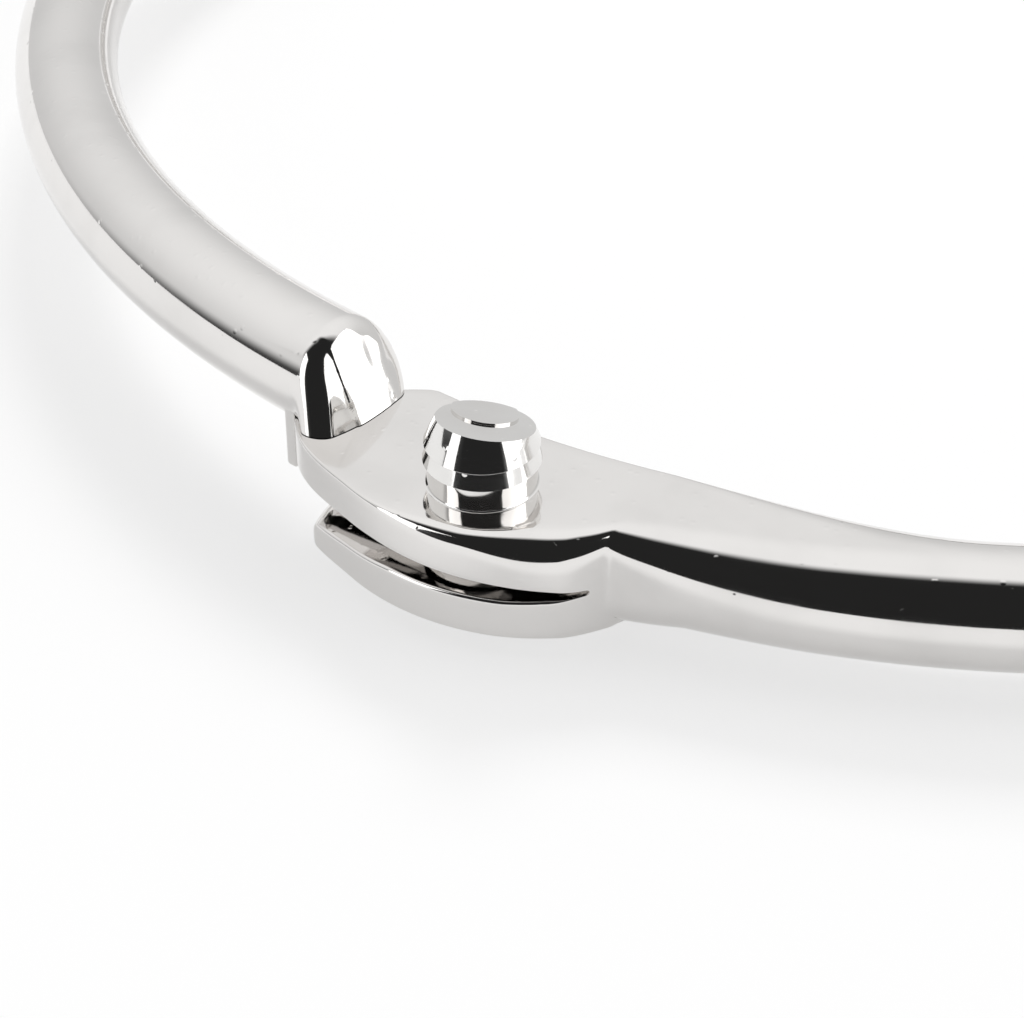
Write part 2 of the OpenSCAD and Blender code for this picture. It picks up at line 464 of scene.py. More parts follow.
@dataclass
class ForkHalf(Piece):
    """Half of the ring with the slotted knuckle: flat-topped, forged over into round wire.

    Sizes are in millimetres. A run is the stretch over which a form grows, along the knuckle from the rivet
    if nothing else is said.
    """

    rim_r: float = 6.0
    rim_out: float = 2.29
    rim_shift: float = 0.4
    rim_dip: float = 0.4
    dip_run: Point = (2.6, 4.0)
    rim_full: float = 0.35
    full_run: Point = (-2.4, -4.8)
    edge_in: float = 1.58
    inner_bulge: float = 0.2
    bulge_run: Point = (-1.0, -2.5)
    corner_r: float = 4.61
    corner_at: Point = (-0.98, 1.55)
    lower_lip_r: float = 4.35
    slot_end: float = 3.4
    slot_tip_h: float = 0.16
    slot_even: float = 1.6
    roof_run: float = 2.0
    mouth_rise: float = 0.22
    mouth_drop: float = 0.34
    neck_outer: float = 1.32
    neck_swell: float = 5.0
    neck_round: float = 2.4
    neck_len: float = 8.5
    neck_low_edge: float = 0.85
    pinch_edge: float = 0.38
    pinch_power: float = 0.45
    crease_most_a: float = 0.25
    crease_edge: float = 0.58
    crease_run: Point = (3.05, 3.85)
    crease_drop: float = 0.8
    crease_soft: float = 0.05
    crease_low_soft: float = 0.3
    # Past the crease, and then in degrees round the section, above the outward level.
    crease_fade_run: Point = (1.5, 3.5)
    soft_low_run: Point = (-15.0, -50.0)
    soft_top_run: Point = (45.0, 20.0)
    soft_foot_run: Point = (-85.0, -60.0)
    edge_left: float = 0.08
    edge_middle: float = 0.42
    edge_right: float = 0.8
    left_run: Point = (-2.2, 0.5)
    right_run: Point = (0.5, 2.4)
    low_edge_left: float = 0.14
    low_edge_right: float = 0.26
    low_edge_run: Point = (1.2, 3.4)
    inner_edge: float = 0.12
    slot_edge: float = 0.1
    slot_edge_len: float = 0.8
    lip_end_edge: float = 0.12
    lip_end_turns: tuple[float, ...] = (0.0, 30.0, 60.0)
    lip_end_round: float = 0.6
    lip_end_drop: float = 0.26
    lip_end_w: float = 1.5
    lip_gap: float = 0.02
    blunt: float = 0.4
    # Shares of a lip, from its free end to the slot's end, and shares of its end's face.
    blunt_run: Point = (0.3, 0.1)
    lip_runs: tuple[Run, ...] = ((0.0, 0.06, 12), (0.07, 0.9, 56), (0.905, 0.985, 14), (0.987, 1.0, 8))
    lip_cap: float = 0.06
    lip_face: Run = (0.1, 0.9, 9)
    # Loops from the slot's end to the square ones, past the crease, along the neck and along the wire.
    square_len: float = 1.4
    fine_a: float = 0.05
    wire_steps: tuple[int, ...] = (26, 30, 40, WIRE_STEPS)

    def rim(self, angle: float) -> float:
        """Place of the knuckle's rim.

        Args:
            angle: angle from the hinge.

        Returns:
            The distance outside the middle of the wire.
        """
        centre = (-self.rim_shift, -(PLAN.pin_r + self.rim_out - self.rim_r))
        x = PLAN.ring_r * sin(angle)
        bend = self.rim_full * ramp(x, self.full_run) - self.rim_dip * ramp(x, self.dip_run)
        return PLAN.crossing(centre, self.rim_r, angle, True) + bend

    @property
    def crease_a(self) -> float:
        """Angle at which the rim runs into the neck, found by halving.

        Returns:
            The angle from the hinge.
        """
        low, high = 0, self.crease_most_a
        for _ in range(HALVINGS):
            middle = (low + high) / 2
            low, high = (middle, high) if self.rim(middle) > self.neck_outer else (low, middle)
        return low

    def inner(self, angle: float) -> float:
        """Place of the upper lip's inner side: it swells a little, then rounds off its corner.

        Args:
            angle: angle from the hinge.

        Returns:
            The distance outside the middle of the wire, below zero.
        """
        along = angle * PLAN.ring_r
        side = -self.edge_in - self.inner_bulge * ramp(along, self.bulge_run)
        centre = (self.corner_at[0], -(PLAN.pin_r + self.corner_at[1]))
        return max(side, PLAN.crossing(centre, self.corner_r, angle, False)) if along < 0 else side

    def slot(self, x: float) -> Point:
        """Heights of the slot's floor and roof.

        Args:
            x: distance along the knuckle from the rivet.

        Returns:
            Both heights above the middle of the wire.
        """
        tip_r = self.slot_tip_h / 2
        tip_x = self.slot_end - tip_r
        if x > self.slot_even:
            half = mix(PLAN.slot_h / 2, tip_r, (x - self.slot_even) / (tip_x - self.slot_even))
            if x > tip_x:
                half = sqrt(max(tip_r ** 2 - (x - tip_x) ** 2, 0))
            return PLAN.slot_mid_z - half, PLAN.slot_mid_z + half
        rise = min((self.slot_even - x) / (self.slot_even + self.roof_run), 1)
        drop = min(max((-self.slot_even - x) / (self.lower_lip_r - self.slot_even), 0), 1)
        return PLAN.slot_low_z - self.mouth_drop * drop, PLAN.slot_low_z + PLAN.slot_h + self.mouth_rise * rise

    def top_edge(self, x: float) -> float:
        """Radius of the worn upper edge of the rim, which grows towards the neck."""
        left = mix(self.edge_left, self.edge_middle, ramp(x, self.left_run))
        return mix(mix(left, self.edge_right, ramp(x, self.right_run)), self.crease_edge, ramp(x, self.crease_run))

    def low_edge(self, x: float) -> float:
        """Radius of the lower edge of the rim, which grows towards the neck."""
        return mix(self.low_edge_left, self.low_edge_right, ramp(x, self.low_edge_run))

    def tip_angle(self, u: float) -> float:
        """Angle of the slot's end, which is a line square to the knuckle."""
        return asin(self.slot_end / (PLAN.ring_r + u))

    def lip_places(self, lip: Lip, share: float, inset: float, back: float, shrink: float = 1) -> list[Vector]:
        """One loop of a lip.

        Args:
            lip: which lip.
            share: 0 at the lip's free end, 1 at the slot's end.
            inset: how far the loop lies inside the lip's sides.
            back: how far the loop lies behind the lip's free end.
            shrink: 1 for the whole section, towards 0 at its middle.

        Returns:
            Places of the loop's points.
        """
        reach = (PLAN.upper_lip_r if lip is Lip.UPPER else self.lower_lip_r) - back

        def angle(u: float) -> float:
            """Angle of a point of this loop."""
            return mix(-PLAN.angle_round_pin(u, reach), self.tip_angle(u), share)

        outer, inner = 1, -self.edge_in
        blunt = self.blunt * ramp(share, self.blunt_run)
        for _ in range(ROUNDS):
            outer = self.rim(angle(outer))
            if lip is Lip.UPPER:
                inner = -soft_max(-self.inner(angle(inner)), self.lip_end_w - outer, blunt)
        x = self.slot_end if share == 1 else PLAN.ring_r * sin(angle(0))
        floor, roof = self.slot(x)
        cut = self.slot_edge * ease((self.slot_end - x) / self.slot_edge_len)
        low, high = roof, PLAN.flat_z
        edges = (self.top_edge(x), cut / 2, cut / 2, self.inner_edge)
        if lip is Lip.LOWER:
            run = (angle(0) + PLAN.angle_round_pin(0, reach)) * PLAN.ring_r + back
            left = max(1 - run / self.lip_end_round, 0)
            low, high = -PLAN.wire_r, floor - self.lip_end_drop * (1 - sqrt(max(1 - left * left, 0)))
            edges = (cut, self.low_edge(x), self.inner_edge, cut)
        section = Section(inner + inset, outer - inset, low + inset, high - inset, *edges)
        middle = ((section.inner + section.outer) / 2, (section.low + section.high) / 2)
        points = [(mix(middle[0], u, shrink), mix(middle[1], z, shrink)) for u, z in section.points()]
        return [PLAN.at(angle(u), u, z) for u, z in points]

    def neck_section(self, past: float) -> Section:
        """Section of the neck, flat-topped at the crease and round at its end.

        Args:
            past: distance past the crease.

        Returns:
            The section.
        """
        share = min(max(past / self.neck_len, 0), 1)
        swell = sin(pi / 2 * share)
        slow = ease(share)
        round_r = PLAN.wire_r
        return Section(
            inner=-mix(self.edge_in, round_r, slow), outer=mix(self.neck_outer, round_r, ease(past / self.neck_swell)),
            low=-round_r, high=mix(PLAN.flat_z, round_r, slow),
            top_outer=mix(self.pinch_edge, round_r, swell ** self.pinch_power),
            low_outer=mix(self.neck_low_edge, round_r, ease(past / self.neck_round)),
            low_inner=mix(self.inner_edge, round_r, swell), top_inner=mix(self.inner_edge, round_r, slow))

    def neck_places(self, angle: float, first: float) -> list[Vector]:
        """One loop between the slot's end and the closure: the knuckle and the neck, melted together.

        Args:
            angle: angle of the loop from the hinge.
            first: 1 where the loop follows the slot's end, 0 where it is square to the wire.

        Returns:
            Places of the loop's points.
        """
        def slanted(u: float) -> float:
            """Angle of a point of this loop."""
            return angle + first * (self.tip_angle(u) - self.tip_angle(0))

        rim = 1
        for _ in range(ROUNDS):
            rim = max(self.rim(slanted(rim)), 0)
        past = (angle - self.crease_a) * PLAN.ring_r
        neck = self.neck_section(past)
        x = PLAN.ring_r * sin(angle)
        lane = replace(neck, outer=max(rim, neck.outer), low_outer=self.low_edge(x), top_outer=self.top_edge(x))
        rim_past = (slanted(rim) - self.crease_a) * PLAN.ring_r
        knuckle = replace(lane, outer=rim - self.crease_drop * max(rim_past, 0))
        fade = (1 - first) * (1 - ramp(past, self.crease_fade_run))
        points = lane.points(PLAN.slot_mid_z)
        even = ease(past / self.neck_len)
        start = atan2(points[0][1], points[0][0])
        places = []
        for i, (u, z) in enumerate(points):
            turn = start - (start - atan2(z, u)) % (2 * pi)
            turn = mix(turn, start - 2 * pi * i / len(points), even)
            lift = degrees(atan2(sin(turn), cos(turn)))
            soft = mix(self.crease_soft, self.crease_low_soft, ramp(lift, self.soft_low_run))
            width = fade * soft * ramp(lift, self.soft_top_run) * ramp(lift, self.soft_foot_run)
            reach = soft_max(knuckle.reach(turn), neck.reach(turn), width)
            u, z = reach * cos(turn), reach * sin(turn)
            places.append(PLAN.at(slanted(u), u, z))
        return places

    def lip_sweep(self, mesh: BMesh, lip: Lip) -> None:
        """Draws a lip from its rounded free end to the slot's end.

        Args:
            mesh: the bmesh to draw in.
            lip: which lip.
        """
        edge = self.lip_end_edge
        turns = [radians(a) for a in self.lip_end_turns]
        ends = [(edge * (1 - sin(t)), edge * (1 - cos(t))) for t in turns]
        sweep = Sweep(mesh)
        for shrink in [self.lip_cap] + spread(*self.lip_face):
            sweep.lay(self.lip_places(lip, 0, *ends[0], shrink))
        for inset, back in ends:
            sweep.lay(self.lip_places(lip, 0, inset, back))
        for share in (s for run in self.lip_runs for s in spread(*run)):
            sweep.lay(self.lip_places(lip, share, 0, edge))

    def wire_sweep(self, mesh: BMesh) -> None:
        """Draws the neck and the wire, from the slot's end to the lap at the closure.

        Args:
            mesh: the bmesh to draw in.
        """
        start_a = self.tip_angle(0)
        square_a = start_a + self.square_len / PLAN.ring_r
        round_a = self.crease_a + self.neck_len / PLAN.ring_r
        lap_start, lap_end = PLAN.lap_run
        stops = (start_a, square_a, square_a + self.fine_a, round_a, lap_start)
        runs = zip(stops, stops[1:], self.wire_steps)
        sweep = Sweep(mesh, capped=False)
        for angle in [start_a] + [a for run in runs for a in spread(*run)[1:]]:
            sweep.lay(self.neck_places(angle, 1 - ramp(angle, (start_a, square_a))))
        lap_z = (PLAN.wire_z - PLAN.lap_gap / 2) * MM
        for angle in spread(lap_start, lap_end, LAP_STEPS):
            places = self.neck_places(angle, 0)
            for place in places:
                place.z = min(place.z, lap_z)
            sweep.lay(places)
        sweep.close()

    def build(self) -> Solid:
        """Makes the forked half.

        Returns:
            The finished piece.
        """
        mesh = bmesh.new()
        for lip in Lip:
            self.lip_sweep(mesh, lip)
        self.wire_sweep(mesh)
        piece = finish_mesh(mesh, "forked_half")
        combine(piece, rod("bore", PLAN.shank_r + self.lip_gap, BORE_DEPTH, PLAN.on_pin(0)), Join.CUT)
        return piece


@dataclass
class TongueHalf(Piece):
    """Half of the ring whose cut wire end stands on the flat and whose tongue turns on the rivet."""

    wall_x: float = 3.57
    wall_lean_deg: float = 26.0
    wall_bow_outer: float = 4.5
    wall_bow_inner: float = 9.0
    wall_ripple: float = 0.008
    wall_streak: tuple[float, float, float] = (3.0, 0.7, 3.0)
    wall_step: float = 0.036
    wall_step_run: Point = (0.62, 0.74)
    wall_middle: Point = (0.1, 0.3)
    rim_side: float = 0.45
    rim_top: float = 0.34
    foot_gap: float = 0.02
    foot_flare_deg: float = 18.0
    web_w: float = 2.6
    web_edge: float = 0.1
    web_gap: float = 0.004
    web_steps: int = 16
    arm_w: float = 2.0
    eye_d: float = 2.9
    eye_gap: float = 0.06
    tongue_gap: float = 0.04
    weld_over: float = 0.005
    sides: int = 160
    # Loops that turn from square ones to the notch, along the foot, round the rim and over the cut end.
    square_len: float = 2.5
    slant_run: Run = (0.0, 1.0, 12)
    foot_run: Run = (0.0, 0.92, 14)
    rim_run: Run = (0.0, pi / 2.0, 10)
    face_run: Run = (0.96, 0.04, 24)

    @property
    def notch_r(self) -> float:
        """Distance of the notch's face from the rivet's axis."""
        return PLAN.upper_lip_r + PLAN.swing_gap

    @property
    def notch_z(self) -> float:
        """Height of the underside that passes over the flat."""
        return PLAN.flat_z + self.foot_gap

    @property
    def turns(self) -> list[float]:
        """Angles of the points round the wire."""
        return [2 * pi * i / self.sides for i in range(self.sides)]

    def sheared(self, u: float, height: float) -> float:
        """Distance of the cut end's face from the rivet, bowed across and uneven from shearing.

        Args:
            u: distance outside the middle of the wire.
            height: height above the foot.

        Returns:
            The distance along the ring.
        """
        off = u - self.wall_middle[0]
        bow = off * off / (2 * (self.wall_bow_outer if off > 0 else self.wall_bow_inner))
        across, upward, layer = self.wall_streak
        streaks = noise.noise(Vector((u * across, height * upward, layer)))
        step = self.wall_step * ramp(u, self.wall_step_run)
        lean = height * tan(radians(self.wall_lean_deg))
        return self.wall_x + lean + bow + step + self.wall_ripple * streaks

    def foot_places(self, share: float, rounding: float, shrink: float) -> list[Vector]:
        """One loop between the notch and the middle of the cut end.

        Args:
            share: 0 at the notch, 1 at the cut end.
            rounding: 0 on the wire's side, up to a right angle on the cut end's face.
            shrink: 1 at the face's rim, towards 0 at its middle.

        Returns:
            Places of the loop's points.
        """
        lowest = (PLAN.wire_z + self.notch_z) * MM
        foot_z = self.notch_z - PLAN.rise
        lean = radians(self.foot_flare_deg)
        lean_z = PLAN.wire_r * sin(lean)
        places = []
        for turn in self.turns:
            cosine, sine = cos(turn), sin(turn)
            u, z = PLAN.wire_r * cosine, PLAN.wire_r * sine
            if u > 0 and z < lean_z:
                under = max((foot_z - z) / (foot_z + PLAN.wire_r), 0)
                wide = PLAN.wire_r * cos(lean) + (lean_z - max(z, foot_z)) * tan(lean)
                u = mix(u, max(wide * (1 - under), u), ease(share))
            edge = mix(self.rim_side, self.rim_top, max(sine, 0) ** 2)
            inset = edge * (1 - cos(rounding))
            back = edge * (1 - sin(rounding))
            u -= inset * cosine
            z = max(z - inset * max(sine, 0), foot_z)
            u, z = mix(self.wall_middle[0], u, shrink), mix(self.wall_middle[1], z, shrink)
            wall_a = -(self.sheared(u, z - foot_z) + back) / PLAN.ring_r
            angle = mix(-PLAN.angle_round_pin(u, self.notch_r), wall_a, share)
            place = PLAN.at_raised(angle, u, z)
            place.z += (lowest - PLAN.at_raised(angle, u, foot_z).z) * ease(1 - (z - foot_z))
            place.z = max(place.z, lowest)
            places.append(place)
        return places

    def wire_sweep(self, mesh: BMesh) -> None:
        """Draws the wire from the lap at the closure to the cut end at the hinge.

        Args:
            mesh: the bmesh to draw in.
        """
        lap_end, lap_start = (-a for a in PLAN.lap_run)
        square_a = -PLAN.angle_round_pin(0, self.notch_r) - self.square_len / PLAN.ring_r
        section = [(PLAN.wire_r * cos(t), PLAN.wire_r * sin(t)) for t in self.turns]
        notches = [-PLAN.angle_round_pin(u, self.notch_r) for u, _ in section]
        lap_z = (PLAN.wire_z + PLAN.lap_gap / 2) * MM
        sweep = Sweep(mesh)
        for angle in spread(lap_start, lap_end, LAP_STEPS):
            places = [PLAN.at_raised(angle, u, z) for u, z in section]
            for place in places:
                place.z = max(place.z, lap_z)
            sweep.lay(places)
        for angle in spread(lap_end, square_a, WIRE_STEPS):
            sweep.lay([PLAN.at_raised(angle, u, z) for u, z in section])
        for share in spread(*self.slant_run)[1:]:
            sweep.lay([PLAN.at_raised(mix(square_a, notch, share), u, z) for notch, (u, z) in zip(notches, section)])
        for share in spread(*self.foot_run):
            sweep.lay(self.foot_places(share, 0, 1))
        for turn in spread(*self.rim_run):
            sweep.lay(self.foot_places(1, turn, 1))
        for shrink in spread(*self.face_run):
            sweep.lay(self.foot_places(1, pi / 2, shrink))
        sweep.close()

    def strip(self) -> Solid:
        """Makes the web that goes down past the upper lip and the flat tongue with its eye.

        Returns:
            The strip as one object.
        """
        web_r = self.notch_r + PLAN.tongue_t / 2
        pin = PLAN.on_pin(PLAN.slot_low_z + self.tongue_gap + PLAN.tongue_t / 2)
        cosine = (PLAN.pin_r ** 2 + web_r ** 2 - PLAN.ring_r ** 2) / (2 * PLAN.pin_r * web_r)
        piece = rod("tongue", self.eye_d / 2, PLAN.tongue_t, pin)
        arm = bmesh.new()
        turned = Matrix.Translation(pin) @ Matrix.Rotation(pi / 2 + acos(cosine), 4, "Z")
        shift = Matrix.Translation(Vector((web_r / 2 * MM, 0, 0)))
        size = Matrix.Diagonal(Vector((web_r, self.arm_w, PLAN.tongue_t, 1 / MM))) * MM
        bmesh.ops.create_cube(arm, size=1.0, matrix=turned @ shift @ size)
        combine(piece, finish_mesh(arm, "arm"), Join.WELD)
        combine(piece, rod("eye_bore", PLAN.shank_r + self.eye_gap, BORE_DEPTH, pin), Join.CUT)
        combine(piece, self.web(), Join.WELD)
        return piece

    def web(self) -> Solid:
        """Makes the upright web, bent round the rivet's axis like the lip that it passes.

        Returns:
            The web as one object.
        """
        low = (PLAN.wire_z + PLAN.slot_low_z + self.tongue_gap - self.weld_over) * MM
        high = (PLAN.wire_z + PLAN.rise) * MM
        inner, outer = self.notch_r + self.web_gap, self.notch_r + PLAN.tongue_t
        mesh = bmesh.new()
        sweep = Sweep(mesh)
        for u in spread(-self.web_w / 2, self.web_w / 2, self.web_steps):
            places = []
            for reach, height in ((inner, low), (outer, low), (outer, high), (inner, high)):
                place = PLAN.at(-PLAN.angle_round_pin(u, reach), u, 0)
                place.z = height
                places.append(place)
            sweep.lay(places)
        sweep.close()
        edges = [e for e in mesh.edges if e.calc_face_angle(0) > radians(WORN_DEG)]
        bmesh.ops.bevel(mesh, geom=edges, offset=self.web_edge * MM, offset_type="OFFSET", segments=4, profile=0.5,
                        affect="EDGES", material=-1)
        return finish_mesh(mesh, "web")

    def build(self) -> Solid:
        """Makes the tongued half.

        Returns:
            The finished piece.
        """
        mesh = bmesh.new()
        self.wire_sweep(mesh)
        piece = finish_mesh(mesh, "tongued_half")
        combine(piece, self.strip(), Join.WELD)
        return piece


@dataclass
class HingeRivet(Piece):
    """Turned rivet: a low head below, a shank through the lips and a ringed post above."""

    foot_r: float = 1.32
    foot_h: float = 0.62
    foot_fillet: float = 0.06
    foot_steps: int = 9
    ring_crests: tuple[float, ...] = (1.42, 1.385)
    ring_tops: tuple[float, ...] = (1.27, 1.22)
    ring_h: float = 0.46
    ring_steps: int = 4
    crest_h: float = 0.06
    crest_soft: float = 0.03
    taper_h: float = 0.44
    top_r: float = 1.0
    cut_h: float = 1.62
    cut_slant_deg: float = 16.0
    cut_size: float = 8.0
    step_r: float = 0.82
    step_h: float = 0.05
    step_at: Point = (-0.3, 0.66)
    head_d: float = 3.4
    head_round: float = 0.3
    head_steps: int = 10
    edge_bevel: float = 0.03
    segments: int = 128

    def profile(self) -> list[Point]:
        """Half outline of the rivet, from the head's middle up.

        Returns:
            Points as radius and height above the middle of the wire.
        """
        low = -PLAN.wire_r - PLAN.head_h
        head_r = self.head_d / 2
        edge = corner_arc((head_r - self.head_round, low + self.head_round), self.head_round, 0, self.head_steps)
        shank = [(head_r, -PLAN.wire_r), (PLAN.shank_r, -PLAN.wire_r), (PLAN.shank_r, PLAN.flat_z)]
        foot = corner_arc((self.foot_r + self.foot_fillet, PLAN.flat_z + self.foot_fillet), self.foot_fillet, -90.0,
                          self.foot_steps)
        rings_z = PLAN.flat_z + self.foot_h
        rings = [(self.foot_r, rings_z)]
        for k, (crest, top) in enumerate(zip(self.ring_crests, self.ring_tops)):
            low_z = rings_z + self.ring_h * k
            peak, end = (crest, low_z + self.crest_h), (top, low_z + self.ring_h)
            rings += [(crest - self.crest_soft, low_z + self.crest_h / 2), peak]
            rings += between(peak, end, self.ring_steps) + [end]
        top_z = rings_z + len(self.ring_crests) * self.ring_h + self.taper_h
        return [(0, low)] + edge[::-1] + shank + foot + rings + [(self.top_r, top_z), (0, top_z)]

    def cutter(self) -> Solid:
        """Makes the solid that the slanted cut takes off the post, with the step left standing.

        Returns:
            The solid, in its place on the post.
        """
        mesh = bmesh.new()
        bmesh.ops.create_cube(mesh, size=self.cut_size * MM,
                              matrix=Matrix.Translation(Vector((0, 0, self.cut_size / 2 * MM))))
        block = finish_mesh(mesh, "cut_block")
        combine(block, rod("step", self.step_r, 2 * self.step_h, Vector((*self.step_at, 0)) * MM), Join.CUT)
        place = Matrix.Translation(PLAN.on_pin(PLAN.flat_z + self.cut_h))
        block.data.transform(place @ Matrix.Rotation(-radians(self.cut_slant_deg), 4, "X"))
        return block

    def build(self) -> Solid:
        """Makes the rivet.

        Returns:
            The finished piece.
        """
        mesh = bmesh.new()
        outline = [mesh.verts.new(PLAN.on_pin(z) + Vector((r * MM, 0, 0))) for r, z in self.profile()]
        edges = [mesh.edges.new(pair) for pair in zip(outline, outline[1:])]
        bmesh.ops.spin(mesh, geom=outline + edges, cent=PLAN.on_pin(0.0), axis=UP,
                       angle=2 * pi, steps=self.segments, use_merge=True)
        piece = finish_mesh(mesh, "rivet")
        combine(piece, self.cutter(), Join.CUT)
        bevel = piece.modifiers.new("worn_edges", "BEVEL")
        bevel.width = self.edge_bevel * MM
        bevel.segments = 2
        bevel.limit_method = "ANGLE"
        bevel.angle_limit = radians(WORN_DEG)
        return piece


@dataclass(frozen=True)
class NickelPlate:
    """Bright nickel, electroplated on polished steel.

    It gives the eye a neutral light-grey mirror with sharp reflections. The plating follows the steel, so
    that the mirror is faintly wavy, a little hazier in clouds, and has a few tiny pits and specks.
    """

    name: str
    colour: str
    cloud_colour: str
    roughness: float
    cloud_roughness: float
    cloud_mm: float = 2.4
    wave_mm: float = 0.9
    wave_depth_mm: float = 0.0016
    speck_mm: float = 0.32
    speck_depth_mm: float = 0.004
    speck_above: float = 0.62

    def material(self) -> bpy.types.Material:
        """Makes the procedural material.

        Returns:
            The material, on Object coordinates.
        """
        material = bpy.data.materials.new(self.name)
        material.use_nodes = True
        tree = material.node_tree
        shader = tree.nodes["Principled BSDF"]
        place = add_node(tree, "TexCoord", out="Object")
        cloud = add_node(tree, "TexNoise", {}, {"Scale": 1 / (self.cloud_mm * MM), "Detail": 3}, {"Vector": place})
        share = add_node(tree, "MapRange", SMOOTH, {"From Min": 0.4, "From Max": 0.75}, {"Value": cloud})
        colour = add_node(tree, "Mix", {"data_type": "RGBA"},
                          {6: linear(self.colour), 7: linear(self.cloud_colour)}, {0: share}, out=2)
        haze = add_node(tree, "MapRange", {}, {"To Min": self.roughness, "To Max": self.cloud_roughness},
                        {"Value": share})
        wave = add_node(tree, "TexNoise", {}, {"Scale": 1 / (self.wave_mm * MM), "Detail": 1}, {"Vector": place})
        waved = add_node(tree, "Bump", {}, {"Distance": self.wave_depth_mm * MM}, {"Height": wave})
        # Specks are a few hundredths of a millimetre in life and are drawn about twice as wide to show.
        cell = add_node(tree, "TexVoronoi", {}, {"Scale": 1 / (self.speck_mm * MM)}, {"Vector": place})
        speck = add_node(tree, "MapRange", SMOOTH, {"From Min": 0.05, "From Max": 0.3, "To Min": 1, "To Max": 0},
                         {"Value": cell})
        chance = add_node(tree, "Math", {"operation": "GREATER_THAN"}, {1: self.speck_above},
                          {0: cell.node.outputs["Color"]})
        pit = add_node(tree, "Math", {"operation": "MULTIPLY"}, {}, {0: speck, 1: chance})
        pitted = add_node(tree, "Bump", {}, {"Distance": self.speck_depth_mm * MM}, {"Height": pit, "Normal": waved})
        for name, socket in {"Base Color": colour, "Roughness": haze, "Normal": pitted}.items():
            tree.links.new(socket, shader.inputs[name])
        shader.inputs["Metallic"].default_value = 1
        return material


@dataclass(frozen=True)
class Lamp:
    """Soft lamp, placed by its direction from the hinge: 0 degrees is the camera's side."""

    name: str
    azimuth_deg: float
    elevation_deg: float
    width: float
    height: float
    radiance: float
    mirrored: bool
    away: float = 0.6

    def build(self, front: Vector, side: Vector) -> None:
        """Hangs the lamp.

        Args:
            front: level direction from the hinge towards the camera.
            side: level direction to the camera's right.
        """
        data = bpy.data.lights.new(self.name, "AREA")
        data.shape = "RECTANGLE"
        data.size = self.width
        data.size_y = self.height
        data.energy = self.radiance * pi * self.width * self.height
        lamp = bpy.data.objects.new(self.name, data)
        bpy.context.scene.collection.objects.link(lamp)
        turn, lift = radians(self.azimuth_deg), radians(self.elevation_deg)
        toward = (front * cos(turn) + side * sin(turn)) * cos(lift) + UP * sin(lift)
        lamp.location = PLAN.on_pin(-PLAN.wire_z) + toward * self.away
        lamp.rotation_euler = toward.to_track_quat("Z", "Y").to_euler()
        lamp.visible_camera = False
        lamp.visible_glossy = self.mirrored


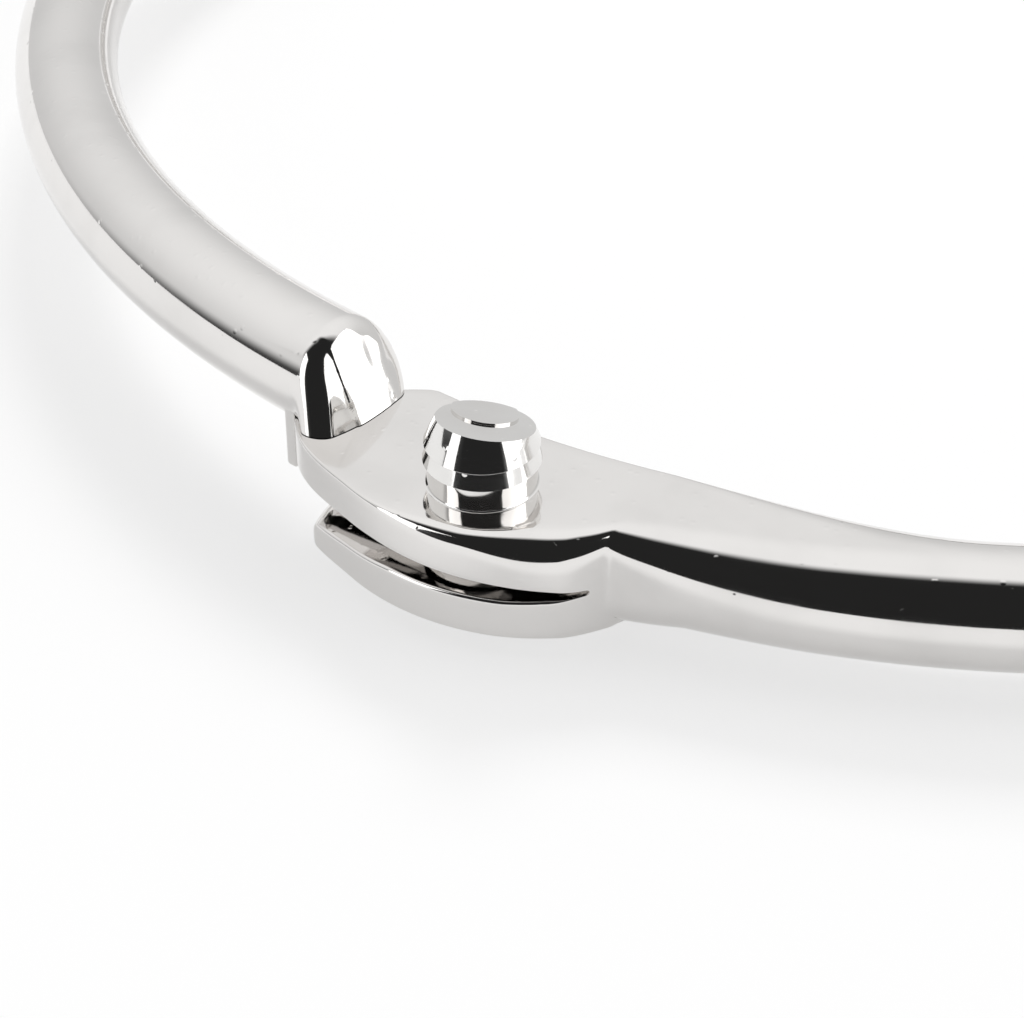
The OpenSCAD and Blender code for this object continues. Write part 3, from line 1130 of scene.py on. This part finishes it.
@dataclass
class Studio:
    """Pale floor, white surroundings with a dark side behind the camera, and the camera itself.

    The camera's place is in millimetres. A glow is the share of plain white in the floor, near the ring and
    far from it, and glow_run says in metres where it changes.
    """

    azimuth_deg: float = 30.95
    elevation_rad: float = 0.648
    distance: float = 64.716
    look_at: tuple[float, float, float] = (0.291, -26.820, 2.0)
    lens: float = 94.1
    floor_colour: str = "#f4f4f4"
    floor_glow: Point = (0.66, 1.0)
    mirrored_glow: Point = (0.42, 0.9)
    glow_run: Point = (0.09, 0.3)
    foot_slope: float = 0.3
    dark: float = 0.02
    lamps: tuple[Lamp, ...] = (
        Lamp("back_lamp", 176.0, 42.0, width=0.18, height=0.18, radiance=19.0, mirrored=False),
        Lamp("right_box", 72.0, 23.0, width=0.58, height=0.5, radiance=1.5, mirrored=True),
        Lamp("left_box", -62.0, 23.0, width=0.24, height=0.5, radiance=1.5, mirrored=True),
    )

    @property
    def front(self) -> Vector:
        """Level direction from the hinge towards the camera."""
        az = radians(self.azimuth_deg)
        return Vector((sin(az), -cos(az), 0))

    @property
    def side(self) -> Vector:
        """Level direction to the camera's right."""
        az = radians(self.azimuth_deg)
        return Vector((cos(az), sin(az), 0))

    @property
    def back(self) -> Vector:
        """Direction from the hinge to the camera."""
        return self.front * cos(self.elevation_rad) + UP * sin(self.elevation_rad)

    def camera(self) -> None:
        """Places the camera at the photograph's angle."""
        data = bpy.data.cameras.new("camera")
        data.lens = self.lens
        data.sensor_width = 36.0
        data.clip_start = MM
        camera = bpy.data.objects.new("camera", data)
        bpy.context.scene.collection.objects.link(camera)
        right = UP.cross(self.back).normalized()
        place = Matrix((right, self.back.cross(right), self.back)).transposed().to_4x4()
        place.translation = Vector(self.look_at) * MM + self.back * self.distance * MM
        camera.matrix_world = place
        bpy.context.scene.camera = camera

    def floor(self) -> None:
        """Lays the floor as a large plane of matt white paper, which keeps the ring's soft shadow."""
        mesh = bmesh.new()
        bmesh.ops.create_grid(mesh, x_segments=1, y_segments=1, size=2.0)
        floor = finish_mesh(mesh, "floor")
        material = bpy.data.materials.new("matt_white_paper")
        material.use_nodes = True
        tree = material.node_tree
        paper = tree.nodes["Principled BSDF"]
        paper.inputs["Base Color"].default_value = linear(self.floor_colour)
        paper.inputs["Roughness"].default_value = 0.9
        paper.inputs["Specular IOR Level"].default_value = 0
        place = add_node(tree, "TexCoord", out="Object")
        away = add_node(tree, "VectorMath", {"operation": "LENGTH"}, {}, {0: place}, out="Value")
        near, far = self.glow_run
        parts = []
        for ray, (low, high) in {"Is Camera Ray": self.floor_glow, "Is Glossy Ray": self.mirrored_glow}.items():
            share = add_node(tree, "MapRange", SMOOTH,
                             {"From Min": near, "From Max": far, "To Min": low, "To Max": high}, {"Value": away})
            parts.append(add_node(tree, "Math", {"operation": "MULTIPLY"}, {},
                                  {0: add_node(tree, "LightPath", out=ray), 1: share}))
        share = add_node(tree, "Math", {"operation": "ADD"}, {}, dict(enumerate(parts)))
        blend = add_node(tree, "MixShader", {}, {},
                         {0: share, 1: paper.outputs["BSDF"], 2: add_node(tree, "Emission")})
        tree.links.new(blend, tree.nodes["Material Output"].inputs["Surface"])
        floor.data.materials.append(material)

    def surroundings(self) -> None:
        """Makes the pale room, dark on the camera's side and a little darker along its foot."""
        world = bpy.data.worlds.new("studio")
        bpy.context.scene.world = world
        world.use_nodes = True
        tree = world.node_tree
        ground = tree.nodes["Background"]
        view = add_node(tree, "TexCoord", out="Generated")
        ahead, aside, up = [add_node(tree, "VectorMath", {"operation": "DOT_PRODUCT"}, {1: way}, {0: view}, out="Value")
                            for way in (self.front, self.side, UP)]
        off_middle = add_node(tree, "Math", {"operation": "ABSOLUTE"}, {}, {0: aside})
        sunk = add_node(tree, "Math", {"operation": "MULTIPLY_ADD"}, {1: -self.foot_slope}, {0: ahead, 2: up})
        # Each row: what is measured, where the change starts and ends, and the values there.
        rows = {"open_side": (off_middle, 0.62, 0.95, 0, 1), "behind": (ahead, 0, 0.25, 1, 0),
                "wall": (up, 0, 0.95, 0.68, 1), "foot": (sunk, 0, 0.3, 1, 0),
                "left": (aside, -0.8, -0.3, 1, 0), "near": (ahead, -0.9, -0.1, 0, 0.95)}
        part = {}
        for name, (value, start, end, low, high) in rows.items():
            bounds = {"From Min": start, "From Max": end, "To Min": low, "To Max": high}
            part[name] = add_node(tree, "MapRange", SMOOTH, bounds, {"Value": value})
        part["seen"] = add_node(tree, "LightPath", out="Is Camera Ray")
        # The room is the lit wall without the line along its foot, plus a little, and white to the camera.
        for name, operation, values, inputs in (
                ("lit", "MAXIMUM", {}, ("open_side", "behind")), ("line", "MULTIPLY", {}, ("left", "near")),
                ("line", "MULTIPLY", {}, ("line", "foot")), ("clear", "MULTIPLY_ADD", {1: -1, 2: 1}, ("line",)),
                ("room", "MULTIPLY", {}, ("wall", "lit")), ("room", "MULTIPLY_ADD", {2: self.dark}, ("room", "clear")),
                ("room", "MAXIMUM", {}, ("room", "seen"))):
            part[name] = add_node(tree, "Math", {"operation": operation}, values,
                                  {i: part[source] for i, source in enumerate(inputs)})
        tree.links.new(part["room"], ground.inputs["Color"])
        ground.inputs["Strength"].default_value = 1

    def build(self) -> None:
        """Sets up everything round the ring."""
        self.camera()
        self.floor()
        self.surroundings()
        for lamp in self.lamps:
            lamp.build(self.front, self.side)
        bpy.context.scene.view_settings.view_transform = "Standard"


def main() -> None:
    """Builds the studio and the ring's pieces in order."""
    logging.basicConfig(level=logging.INFO, format="%(name)s: %(message)s")
    Studio().build()
    wire = NickelPlate("bright_nickel_plate", "#e8e6e4", "#e2e0de", roughness=0.06, cloud_roughness=0.1).material()
    turned = NickelPlate("turned_nickel_plate", "#eae9e7", "#e4e2e0", roughness=0.06, cloud_roughness=0.09).material()
    ForkHalf().dress(wire, "fork_half", "fork_half", "nickel_wire")
    TongueHalf().dress(wire, "tongue_half", "tongue_half", "nickel_wire")
    HingeRivet().dress(turned, "hinge_rivet", "fork_half", "nickel_rivet")


if __name__ == "__main__":
    main()
